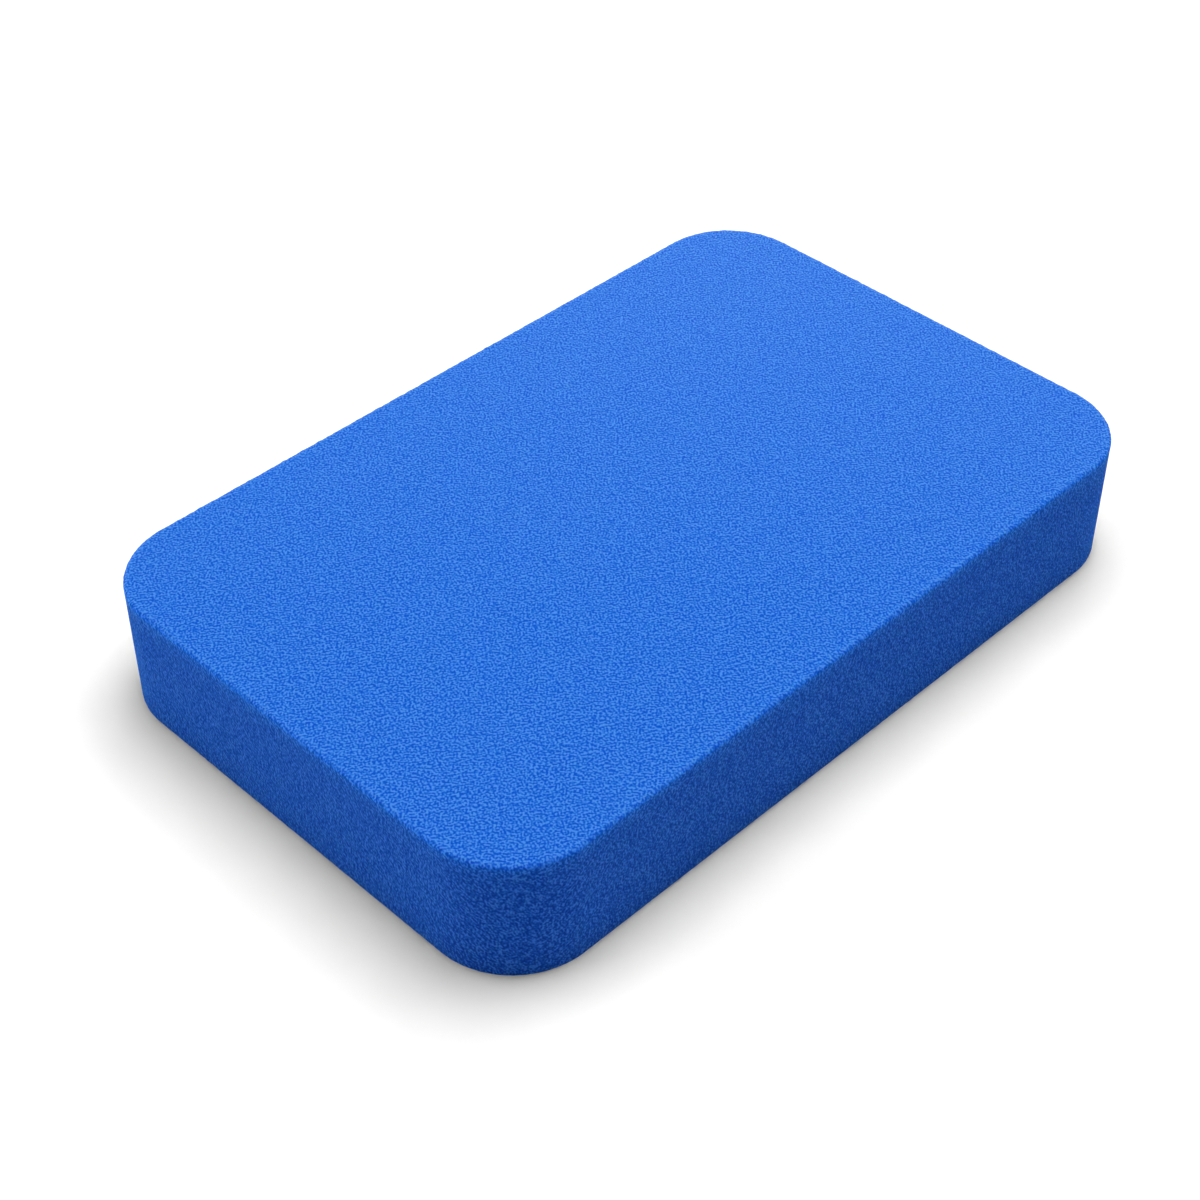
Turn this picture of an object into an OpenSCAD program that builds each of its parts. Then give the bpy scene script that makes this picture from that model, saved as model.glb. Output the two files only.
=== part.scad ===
/* [Block] */
// Length of the sponge, along X
length = 120; // [80:1:200]
// Width of the sponge, along Y
width = 78; // [50:1:120]
// Thickness of the sponge, from the surface it lies on to its top face
thickness = 18.8; // [10:0.1:50]

/* [Edges] */
// Radius of the four upright corners, as the cutting die leaves them
corner_r = 12; // [4:0.5:24]
// Radius of the soft round along the top and bottom edges
edge_r = 0.8; // [0.2:0.1:3]

/* [Hidden] */

foam_blue = [0.19, 0.45, 0.86];

// Centre of the corner round in the +X +Y quarter
centre_x = length / 2 - corner_r;
centre_y = width / 2 - corner_r;

$fn = 96;

// Upright cut through the rim, from the corner's centre line out to the side wall.
// The wall is straight, and the two foam edges at its ends are rounded.
module rim_section() {
    flat_w = corner_r - edge_r;
    square([flat_w, thickness]);
    translate([0, edge_r])
        square([corner_r, thickness - 2 * edge_r]);
    for (z = [edge_r, thickness - edge_r])
        translate([flat_w, z])
            circle(r = edge_r);
}

// Straight stretch of rim: it runs along +X, and its wall faces +Y
module rim_run(run) {
    rotate([90, 0, 90])
        linear_extrude(run)
            rim_section();
}

// Quarter turn of rim round one upright corner: its wall turns from +X to +Y
module rim_corner() {
    rotate_extrude(angle = 90)
        rim_section();
}

// Half of the rim: the long side at +Y, the short side at +X and the two corners at +X.
// Each stretch starts on the plane where the one before it ends, so the wall and both
// rounded edges carry on unbroken from the sides into the corners.
module half_rim() {
    translate([-centre_x, centre_y, 0])
        rim_run(2 * centre_x);
    translate([centre_x, centre_y, 0]) {
        rim_corner();
        rotate([0, 0, -90])
            rim_run(2 * centre_y);
    }
    translate([centre_x, -centre_y, 0])
        rotate([0, 0, -90])
            rim_corner();
}

// The whole sponge, cut from a sheet of foam: the flat middle with the rim all round it
module sponge() {
    color(foam_blue)
        union() {
            translate([-centre_x, -centre_y, 0])
                cube([2 * centre_x, 2 * centre_y, thickness]);
            for (turn = [0, 180])
                rotate([0, 0, turn])
                    half_rim();
        }
}

sponge();
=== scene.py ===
import math

import bpy
import numpy as np
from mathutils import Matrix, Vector


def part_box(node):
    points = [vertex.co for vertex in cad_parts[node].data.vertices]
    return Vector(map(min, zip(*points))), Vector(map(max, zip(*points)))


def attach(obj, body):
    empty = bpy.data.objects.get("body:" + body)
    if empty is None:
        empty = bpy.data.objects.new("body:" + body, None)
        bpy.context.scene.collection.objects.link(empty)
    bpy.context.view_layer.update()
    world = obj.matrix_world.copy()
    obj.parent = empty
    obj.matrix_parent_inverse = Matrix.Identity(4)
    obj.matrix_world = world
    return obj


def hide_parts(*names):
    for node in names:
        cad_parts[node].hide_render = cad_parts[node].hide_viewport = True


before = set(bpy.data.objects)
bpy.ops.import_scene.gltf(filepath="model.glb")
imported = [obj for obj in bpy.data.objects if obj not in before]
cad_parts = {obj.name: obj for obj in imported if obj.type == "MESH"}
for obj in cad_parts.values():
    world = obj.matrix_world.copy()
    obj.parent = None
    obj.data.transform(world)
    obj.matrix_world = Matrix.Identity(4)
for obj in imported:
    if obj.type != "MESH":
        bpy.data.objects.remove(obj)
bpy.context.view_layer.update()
scene = bpy.context.scene


# --- The sponge -------------------------------------------------------------------------------
# One block of fine open-celled foam, dyed blue right through. It is cut from a thick sheet with a
# rectangular die that has rounded corners, so its two faces are flat and its walls are upright.
# The cut leaves the edges soft and a little ragged, where cells are torn open.

block_low, block_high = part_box("sponge")
half_length = (block_high.x - block_low.x) / 2
half_width = (block_high.y - block_low.y) / 2
thickness = block_high.z - block_low.z
corner_radius = 0.012
corner_centre = np.array([half_length - corner_radius, half_width - corner_radius])
upper_radius = 0.0005
lower_radius = 0.0004

# The flat middle of each face is a grid of squares face_step wide, which ends the margin inside the walls.
# Round it run closed rings of points. Each square's side has four fine points, and a ring's share is how many
# of them each of its points stands for: one near the rounded edges, and up to four down the wall.
face_step = 0.0009
margin = 0.0024
fine_per_square = 4
face_rings = ((0.0013, 2), (0.0008, 1), (0.0005, 1), (0.00024, 1))
edge_ring_count = 7
wall_rings = ((0.00022, 1), (0.00044, 1), (0.00068, 1), (0.0011, 2), (0.0017, 4))
mid_wall_ring_count = 9


def bent(x, y):
    """Points of the flat middle of a face, from points of the rectangle around it. In each corner square a
    point (s, t), in units of the corner radius from the corner's centre, goes to
    (s*sqrt(1 - t*t/2), t*sqrt(1 - s*s/2)), which bends the square's outer sides onto the quarter circle."""
    radius = corner_radius - margin
    centre_x, centre_y = corner_centre
    s = np.clip(np.abs(x) - centre_x, 0, None) / radius
    t = np.clip(np.abs(y) - centre_y, 0, None) / radius
    bent_x = np.clip(np.abs(x), None, centre_x) + radius * s * np.sqrt(1 - t * t / 2)
    bent_y = np.clip(np.abs(y), None, centre_y) + radius * t * np.sqrt(1 - s * s / 2)
    return np.stack([np.sign(x) * bent_x, np.sign(y) * bent_y], axis=-1)


def border(grid):
    """The grid's outermost entries, once round, anticlockwise seen from above."""
    return np.concatenate([grid[:-1, 0], grid[-1, :-1], grid[:0:-1, -1], grid[0, :0:-1]])


def strip(upper, lower):
    """Faces between two rings of corner numbers. The rings have the same count, or one has twice the other's;
    then each long side takes three triangles, which share the extra corner."""
    if len(upper) == len(lower):
        return [np.stack([lower, np.roll(lower, -1), np.roll(upper, -1), upper], axis=1)]
    coarse, fine = (upper, lower) if len(upper) < len(lower) else (lower, upper)
    start, middle = fine[0::2], fine[1::2]
    end, coarse_end = np.roll(start, -1), np.roll(coarse, -1)
    triangles = [
        np.stack([start, middle, coarse], axis=1),
        np.stack([middle, coarse_end, coarse], axis=1),
        np.stack([middle, end, coarse_end], axis=1),
    ]
    return triangles if fine is lower else [triangle[:, ::-1] for triangle in triangles]


def half_side(radius):
    """Rings of half a side, from the middle grid's border over the rounded edge to half way down: how far out
    of the border, how far down, how far the normal has tipped over, and the ring's share. On the rounded
    edge, a ring that has tipped by an angle is radius * sin(angle) out and radius * (1 - cos(angle)) down."""
    start = margin - radius
    rings = [(start - inset, 0, 0, share) for inset, share in face_rings]
    for turn in np.linspace(0, np.pi / 2, edge_ring_count):
        rings.append((start + radius * math.sin(turn), radius - radius * math.cos(turn), turn, 1))
    for drop, share in wall_rings:
        rings.append((margin, radius + drop, np.pi / 2, share))
    lowest_drop, wall_share = wall_rings[-1]
    for down in np.linspace(radius + lowest_drop, thickness / 2, mid_wall_ring_count)[1:]:
        rings.append((margin, down, np.pi / 2, wall_share))
    return rings


columns = round(2 * (half_length - margin) / face_step)
rows = round(2 * (half_width - margin) / face_step)
fine_x, fine_y = np.meshgrid(
    np.linspace(margin - half_length, half_length - margin, fine_per_square * columns + 1),
    np.linspace(margin - half_width, half_width - margin, fine_per_square * rows + 1),
    indexing="ij",
)
middle_plan = bent(fine_x[::fine_per_square, ::fine_per_square], fine_y[::fine_per_square, ::fine_per_square])
rim_plan = bent(border(fine_x), border(fine_y))
outward = rim_plan - np.clip(rim_plan, -corner_centre, corner_centre)
outward /= np.linalg.norm(outward, axis=1)[:, None]

# The two halves of the side meet half way down, in one ring that the lower half leaves out
side = [(out, thickness - down, turn, share) for out, down, turn, share in half_side(upper_radius)]
side += [(out, down, np.pi - turn, share) for out, down, turn, share in half_side(lower_radius)[-2::-1]]

grid_shape = middle_plan.shape[:2]
grid_count = grid_shape[0] * grid_shape[1]
up = np.tile([0.0, 0.0, 1.0], (grid_count, 1))
flat_plan = middle_plan.reshape(-1, 2)
points = [np.column_stack([flat_plan, np.full(grid_count, thickness)])]
normals = [up]
top_numbers = np.arange(grid_count).reshape(grid_shape)
rings = [border(top_numbers)]
used = grid_count
for out, height, turn, share in side:
    plan = rim_plan[::share] + out * outward[::share]
    tilt = outward[::share] * math.sin(turn)
    points.append(np.column_stack([plan, np.full(len(plan), height)]))
    normals.append(np.column_stack([tilt, np.full(len(plan), math.cos(turn))]))
    rings.append(used + np.arange(len(plan)))
    used += len(plan)
bottom_numbers = used + top_numbers
rings.append(border(bottom_numbers))
points.append(np.column_stack([flat_plan, np.zeros(grid_count)]))
normals.append(-up)
points, normals = np.concatenate(points), np.concatenate(normals)

faces = []
for numbers, order in ((top_numbers, 1), (bottom_numbers, -1)):
    squares = np.stack([numbers[:-1, :-1], numbers[1:, :-1], numbers[1:, 1:], numbers[:-1, 1:]], axis=-1)
    faces += squares.reshape(-1, 4)[:, ::order].tolist()
for upper, lower in zip(rings[:-1], rings[1:]):
    for part in strip(upper, lower):
        faces += part.tolist()

# How far each point lies inside the walls, from the nearer face and from the nearer edge between the two
plan_size = np.abs(points[:, :2])
past_corner = np.clip(plan_size - corner_centre, 0, None)
wall_gap = np.where(
    past_corner.min(axis=1) > 0,
    corner_radius - np.hypot(past_corner[:, 0], past_corner[:, 1]),
    np.minimum(half_length - plan_size[:, 0], half_width - plan_size[:, 1]),
)
face_gap = np.minimum(points[:, 2], thickness - points[:, 2])
edge_gap = np.hypot(np.clip(wall_gap, 0, None), np.clip(face_gap, 0, None))
on_upper_half = points[:, 2] > thickness / 2

# Three masks for the material. cut_face is 1 on the two wide cut faces and fades out over the rounded edge.
# The rim mask is the band of the face beside its edge, where a highlight is painted in. glow is the wall just
# under the upper edge, where light from the face comes through the foam.
face_start = 0.0001
face_fade = 0.00025
face_depth = 0.00021
rim_place = 0.0005
rim_width = 0.0003
glow_start = 0.0004
glow_reach = 0.0008
cut_face = np.clip((wall_gap - face_start) / face_fade, 0, 1) * (face_gap < face_depth)
rim = np.exp(-np.square((wall_gap - rim_place) / rim_width)) * cut_face
glow = np.exp(-np.clip(face_gap - glow_start, 0, None) / glow_reach) * (1 - cut_face) * on_upper_half


def foam_relief(points, wave_count, longest, shortest, seed):
    """Random smooth relief: the sum of many plane waves, each with its own heading, phase and wavelength
    between the two given, scaled so that the relief's standard deviation is 1."""
    draw = np.random.default_rng(seed)
    heading = draw.normal(size=(wave_count, 3))
    heading /= np.linalg.norm(heading, axis=1)[:, None]
    wavelength = np.exp(draw.uniform(np.log(shortest), np.log(longest), wave_count))
    phase = draw.uniform(0, 2 * np.pi, wave_count)
    total = np.zeros(len(points))
    for k in range(wave_count):
        total += np.cos(points @ heading[k] * (2 * np.pi / wavelength[k]) + phase[k])
    return total * math.sqrt(2 / wave_count)


# Torn cells give the edges a fine relief. The flat stretches keep a small share of it, and the lower half has
# less. A rounded edge lies 0.41 of its radius inside the sharp edge it replaces.
wave_count = 90
longest_wave = 0.0018
shortest_wave = 0.0006
edge_relief = 0.00002
torn_reach = 0.0006
flat_share = 0.15
torn_share = 0.85
lower_half_share = 0.4
round_inset = 0.41
from_edge = edge_gap - round_inset * np.where(on_upper_half, upper_radius, lower_radius)
torn = np.exp(-np.square(np.clip(from_edge, 0, None) / torn_reach))
relief = edge_relief * (flat_share + torn_share * torn) * np.where(on_upper_half, 1, lower_half_share)
relief *= foam_relief(points, wave_count, longest_wave, shortest_wave, seed=12)
points = points + normals * relief[:, None]
points[:, 2] -= points[:, 2].min()

block_mesh = bpy.data.meshes.new("foam_block")
block_mesh.from_pydata(points.tolist(), [], faces)
block_mesh.polygons.foreach_set("use_smooth", np.ones(len(faces), bool))
for mask_name, mask in (("cut_face", cut_face), ("rim", rim), ("glow", glow)):
    attribute = block_mesh.attributes.new(mask_name, "FLOAT", "POINT")
    attribute.data.foreach_set("value", mask.astype(np.float32))
foam_block = bpy.data.objects.new("foam_block", block_mesh)
scene.collection.objects.link(foam_block)


def add_node(tree, kind, inputs, **settings):
    """A new shader node with its settings. Each input, by name or number, is set to the value given or joined
    to the other node's output given."""
    made = tree.nodes.new(kind)
    for setting, value in settings.items():
        setattr(made, setting, value)
    for key, value in inputs.items():
        if isinstance(value, bpy.types.NodeSocket):
            tree.links.new(value, made.inputs[key])
        else:
            made.inputs[key].default_value = value
    return made


# The foam itself. Light that goes deep between the cells comes back a darker, purer blue, and light off
# the cell ends comes back paler. One value, the openness, runs from 0 in a pit to 1 on a cell end.
foam = bpy.data.materials.new("blue_foam")
foam.use_nodes = True
tree = foam.node_tree
shader = tree.nodes["Principled BSDF"]

# The noise has rows along its axes, so it is turned to lie askew to every side of the block
place = add_node(tree, "ShaderNodeTexCoord", {})
askew = add_node(tree, "ShaderNodeMapping", {"Vector": place.outputs["Object"], "Rotation": (0.7, 0.5, 0.3)})

# A winding pattern with no large patches: a noise less the mean of the same noise at two places close by
cell_scale = 3200
cell_swing = 0.188
side_steps = ((0, 0, 0), (0.00016, 0.000048, -0.000064), (-0.000056, 0.00016, 0.000048))
heights = []
for side_step in side_steps:
    moved = add_node(tree, "ShaderNodeVectorMath", {0: askew.outputs["Vector"], 1: side_step})
    grain = add_node(tree, "ShaderNodeTexNoise", {
        "Vector": moved.outputs["Vector"],
        "Scale": cell_scale,
        "Detail": 0.0,
    })
    heights.append(grain.outputs["Fac"])
beside = add_node(tree, "ShaderNodeMath", {0: heights[1], 1: heights[2]}, operation="ADD")
cells = add_node(
    tree, "ShaderNodeMath", {0: beside.outputs["Value"], 1: -0.5, 2: heights[0]}, operation="MULTIPLY_ADD"
)
openness = add_node(tree, "ShaderNodeMapRange", {
    "Value": cells.outputs["Value"],
    "From Min": -cell_swing,
    "From Max": cell_swing,
})

# Painted light and shade: the wide cut faces are painted paler, as if lit, and their pits stand out in
# colour.
# The walls are painted as if in shade, where the colour is less pale and more even.
lit_face_base = 0.13
shaded_wall_base = 0.21
shaded_wall_contrast = 0.6
# How much paler the painted edge highlight makes each cut face
rim_lift = 0.12
face_mask = add_node(tree, "ShaderNodeAttribute", {}, attribute_name="cut_face")
rim_mask = add_node(tree, "ShaderNodeAttribute", {}, attribute_name="rim")
shaded_wall_paleness = add_node(
    tree, "ShaderNodeMath", {0: openness.outputs["Result"], 1: shaded_wall_contrast, 2: shaded_wall_base},
    operation="MULTIPLY_ADD",
)
lit_face_paleness = add_node(
    tree, "ShaderNodeMath", {0: openness.outputs["Result"], 1: lit_face_base}, operation="ADD"
)
paleness = add_node(tree, "ShaderNodeMix", {
    "Factor": face_mask.outputs["Fac"],
    "A": shaded_wall_paleness.outputs["Value"],
    "B": lit_face_paleness.outputs["Value"],
})
# Painted highlight: the band beside the edge of each cut face is made paler
paleness_with_highlight = add_node(
    tree, "ShaderNodeMath", {0: rim_mask.outputs["Fac"], 1: rim_lift, 2: paleness.outputs["Result"]},
    operation="MULTIPLY_ADD",
)

# From pit to cell end each colour channel grows by a steady factor, red the most and blue the least
middle_blue = (0.0129, 0.1205, 0.5970)
channel_growth = (1.66, 0.72, 0.17)
tint = add_node(tree, "ShaderNodeValToRGB", {"Fac": paleness_with_highlight.outputs["Value"]})
tint_stops = tint.color_ramp.elements
for stop_place in (0.25, 0.5, 0.75):
    tint_stops.new(stop_place)
for stop in tint_stops:
    channels = [
        round(middle * math.exp(growth * (2 * stop.position - 1)), 4)
        for middle, growth in zip(middle_blue, channel_growth)
    ]
    stop.color = (*channels, 1)

# On the walls less light reaches the pits, so there they are darker too
pit_shade = 0.83
cell_end_shade = 1.2
# Painted shade: the walls, which lie in shade, are also given a slightly different blue from the faces
shaded_wall_hue = (1.2, 0.965, 1.06)
glow_hue = (1.25, 1.5, 1.3, 1)
white = (1, 1, 1, 1)
wall_pit = add_node(tree, "ShaderNodeMapRange", {
    "Value": openness.outputs["Result"],
    "To Min": pit_shade,
    "To Max": cell_end_shade,
})
wall_shade = add_node(
    tree, "ShaderNodeVectorMath", {0: shaded_wall_hue, "Scale": wall_pit.outputs["Result"]}, operation="SCALE"
)
glow_mask = add_node(tree, "ShaderNodeAttribute", {}, attribute_name="glow")
glow_tint = add_node(
    tree, "ShaderNodeMix", {"Factor": glow_mask.outputs["Fac"], "A": white, "B": glow_hue}, data_type="RGBA"
)
painted_wall_tint = add_node(
    tree, "ShaderNodeVectorMath", {0: wall_shade.outputs["Vector"], 1: glow_tint.outputs["Result"]},
    operation="MULTIPLY",
)
shade = add_node(
    tree, "ShaderNodeMix", {"Factor": face_mask.outputs["Fac"], "A": painted_wall_tint.outputs["Vector"], "B": white},
    data_type="RGBA",
)
shaded = add_node(
    tree, "ShaderNodeVectorMath", {0: tint.outputs["Color"], 1: shade.outputs["Result"]}, operation="MULTIPLY"
)

# What the sponge throws onto the table is kept grey, so that its shadow there stays neutral
thrown_grey = (0.15, 0.15, 0.15, 1)
foam_path = add_node(tree, "ShaderNodeLightPath", {})
thrown = add_node(
    tree, "ShaderNodeMix",
    {"Factor": foam_path.outputs["Is Diffuse Ray"], "A": shaded.outputs["Vector"], "B": thrown_grey},
    data_type="RGBA",
)
tree.links.new(thrown.outputs["Result"], shader.inputs["Base Color"])

cell_depth = 0.000012
bump = add_node(tree, "ShaderNodeBump", {
    "Height": cells.outputs["Value"],
    "Strength": 1.0,
    "Distance": cell_depth,
})
tree.links.new(bump.outputs["Normal"], shader.inputs["Normal"])

# Seen at a low angle the foam takes on a pale haze from the ends of its cells, the cut faces most
haze_start = 0.33
haze_full = 0.5
most_haze = 0.32
wall_haze_share = 0.14
slant = add_node(tree, "ShaderNodeLayerWeight", {"Blend": 0.5})
haze = add_node(tree, "ShaderNodeMapRange", {
    "Value": slant.outputs["Facing"],
    "From Min": haze_start,
    "From Max": haze_full,
    "To Max": most_haze,
})
haze_share = add_node(tree, "ShaderNodeMapRange", {
    "Value": face_mask.outputs["Fac"],
    "To Min": wall_haze_share,
})
pale_haze = add_node(
    tree, "ShaderNodeMath", {0: haze.outputs["Result"], 1: haze_share.outputs["Result"]}, operation="MULTIPLY"
)
tree.links.new(pale_haze.outputs["Value"], shader.inputs["Coat Weight"])
shader.inputs["Coat Roughness"].default_value = 0.5

shader.inputs["Roughness"].default_value = 0.9
shader.inputs["Specular IOR Level"].default_value = 0.0
shader.inputs["Subsurface Weight"].default_value = 0.5
shader.inputs["Subsurface Radius"].default_value = (0.05, 0.2, 1.0)
shader.inputs["Subsurface Scale"].default_value = 0.001

block_mesh.materials.append(foam)
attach(foam_block, "root")
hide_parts("sponge")


# --- The table --------------------------------------------------------------------------------
# A wide, plain, near-white matt sheet that the sponge lies on. It isn't part of the object. It lets light
# spread sideways by about half a millimetre, so it darkens softly toward the foot of the sponge.

sheet_half = 3.0
sheet_corners = [
    (-sheet_half, -sheet_half, 0),
    (sheet_half, -sheet_half, 0),
    (sheet_half, sheet_half, 0),
    (-sheet_half, sheet_half, 0),
]
sheet_mesh = bpy.data.meshes.new("table_sheet")
sheet_mesh.from_pydata(sheet_corners, [], [(0, 1, 2, 3)])
table_sheet = bpy.data.objects.new("table_sheet", sheet_mesh)
scene.collection.objects.link(table_sheet)


def shown(tree):
    """An output that gives 1 to the rays that show a thing to the eye, whether straight, off a gloss or
    through glass, and 0 to the rays that only carry its light to other things."""
    path = add_node(tree, "ShaderNodeLightPath", {})
    seen = add_node(
        tree, "ShaderNodeMath", {0: path.outputs["Is Camera Ray"], 1: path.outputs["Is Glossy Ray"]},
        operation="MAXIMUM",
    )
    seen_at_all = add_node(
        tree, "ShaderNodeMath", {0: seen.outputs["Value"], 1: path.outputs["Is Transmission Ray"]},
        operation="MAXIMUM",
    )
    return seen_at_all.outputs["Value"]


paper = bpy.data.materials.new("white_sheet")
paper.use_nodes = True
paper_tree = paper.node_tree
paper_shader = paper_tree.nodes["Principled BSDF"]
paper_shader.inputs["Roughness"].default_value = 1.0
paper_shader.inputs["Specular IOR Level"].default_value = 0.0
paper_shader.subsurface_method = "BURLEY"
paper_shader.inputs["Subsurface Weight"].default_value = 1.0
paper_shader.inputs["Subsurface Radius"].default_value = (1, 1, 1)
paper_shader.inputs["Subsurface Scale"].default_value = 0.005

lit_grey = (0.8, 0.8, 0.8, 1)
paper_shown = shown(paper_tree)
paper_colour = add_node(
    paper_tree, "ShaderNodeMix", {"Factor": paper_shown, "A": lit_grey, "B": white}, data_type="RGBA"
)
paper_tree.links.new(paper_colour.outputs["Result"], paper_shader.inputs["Base Color"])

# Far from the lamps the sheet is shown white, so that it meets the white around it in every view
white_start = 0.2
white_reach = 0.7
near_glow = 0.038
paper_place = add_node(paper_tree, "ShaderNodeTexCoord", {})
paper_reach = add_node(
    paper_tree, "ShaderNodeVectorMath", {0: paper_place.outputs["Object"]}, operation="LENGTH"
)
paper_white = add_node(paper_tree, "ShaderNodeMapRange", {
    "Value": paper_reach.outputs["Value"],
    "From Min": white_start,
    "From Max": white_reach,
    "To Min": near_glow,
})
paper_lift = add_node(
    paper_tree, "ShaderNodeMath", {0: paper_shown, 1: paper_white.outputs["Result"]}, operation="MULTIPLY"
)
paper_shader.inputs["Emission Color"].default_value = white
paper_tree.links.new(paper_lift.outputs["Value"], paper_shader.inputs["Emission Strength"])
sheet_mesh.materials.append(paper)


# --- Light ------------------------------------------------------------------------------------
# Soft studio light: a large softbox nearly overhead, one on the left, a small one low behind the sponge and
# a small one behind it on the right. Around them all is white.

surround = bpy.data.worlds.new("surround")
scene.world = surround
surround.use_nodes = True
surround_tree = surround.node_tree
surround_light = surround_tree.nodes["Background"]
surround_light.inputs["Color"].default_value = white
surround_tree.links.new(shown(surround_tree), surround_light.inputs["Strength"])


def stand_off(holder, target, azimuth, elevation, distance):
    """Stands a lamp or camera the distance away from the target, facing it. Azimuth 0 is on the -Y side and
    90 on the +X side, and elevation is up from level, both in degrees."""
    turn_angle, lift_angle = math.radians(azimuth), math.radians(elevation)
    back = Vector((
        math.sin(turn_angle) * math.cos(lift_angle),
        -math.cos(turn_angle) * math.cos(lift_angle),
        math.sin(lift_angle),
    ))
    holder.location = target + back * distance
    holder.rotation_mode = "QUATERNION"
    holder.rotation_quaternion = back.to_track_quat("Z", "Y")


# Each softbox's azimuth and elevation in degrees, its size and its power. All stand at one distance.
softbox_distance = 0.7
softboxes = {
    "overhead_softbox": (90, 78, 0.6, 5.73),
    "left_softbox": (225, 35, 0.5, 1.66),
    "low_back_softbox": (135, 15, 0.3, 0.41),
    "right_softbox": (90, 35, 0.3, 0.49),
}
block_middle = Vector((0, 0, thickness / 2))
for softbox_name, (azimuth, elevation, size, power) in softboxes.items():
    lamp = bpy.data.lights.new(softbox_name, "AREA")
    lamp.shape = "SQUARE"
    lamp.size = size
    lamp.energy = power
    softbox = bpy.data.objects.new(softbox_name, lamp)
    scene.collection.objects.link(softbox)
    stand_off(softbox, block_middle, azimuth, elevation, softbox_distance)


# --- Camera -----------------------------------------------------------------------------------
# It stands off the sponge's corner, a little under half way up to overhead, about 30 cm away.

camera_azimuth = -45
camera_elevation = 41.563
camera_distance = 0.300
camera_target = Vector((-0.010225, -0.003644, 0.0094))
frame_width = 1200
focal_pixels = 2287.4

camera_data = bpy.data.cameras.new("camera")
camera = bpy.data.objects.new("camera", camera_data)
scene.collection.objects.link(camera)
stand_off(camera, camera_target, camera_azimuth, camera_elevation, camera_distance)
camera_data.sensor_width = 36
camera_data.lens = focal_pixels / frame_width * camera_data.sensor_width
camera_data.clip_start = 0.01
camera_data.clip_end = 20
scene.camera = camera
scene.view_settings.view_transform = "Standard"
